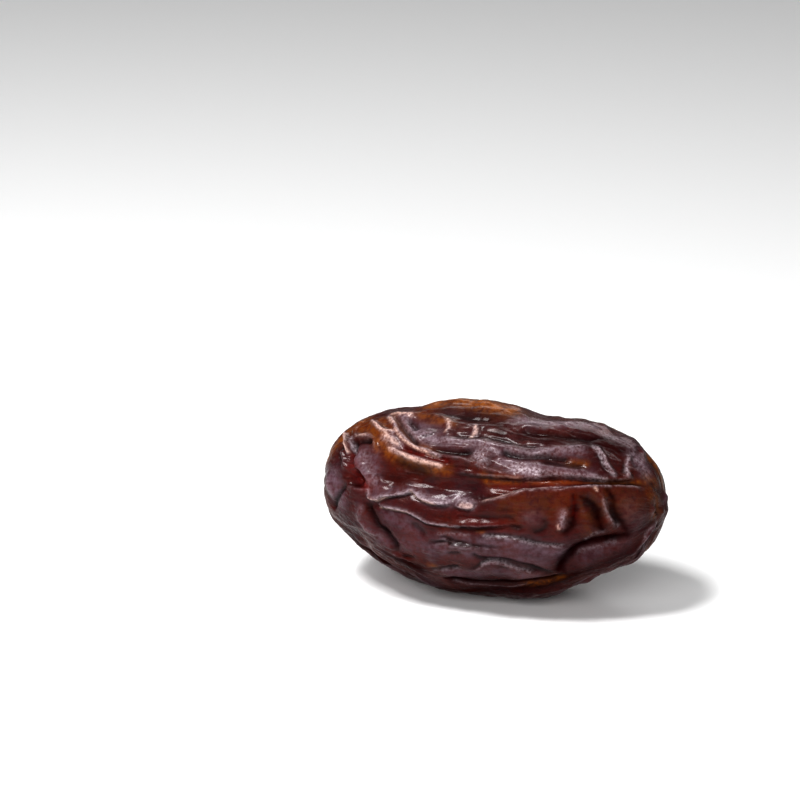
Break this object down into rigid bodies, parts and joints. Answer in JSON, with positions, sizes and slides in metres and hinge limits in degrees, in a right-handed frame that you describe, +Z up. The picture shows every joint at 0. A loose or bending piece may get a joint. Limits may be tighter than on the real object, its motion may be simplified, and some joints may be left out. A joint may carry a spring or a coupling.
{
  "type": "date",
  "caption": "Whole dried date lying on its side: a blunt barrel wrapped in lengthwise folds, ridges and creases of wrinkled skin.",
  "frame": {"origin": "centre of the fruit's box, at the surface that it rests on", "axes": "+X along the fruit from the stem end to the blossom end, +Z up from the surface that it rests on"},
  "size_m": [0.0454, 0.0244, 0.0255],
  "materials": {
    "skin": "dried fruit skin, dark red-brown with a lilac-grey bloom on its raised parts and amber where it has lifted, waxy gloss"
  },
  "bodies": {
    "root": {"date": "skin"}
  },
  "joints": []
}
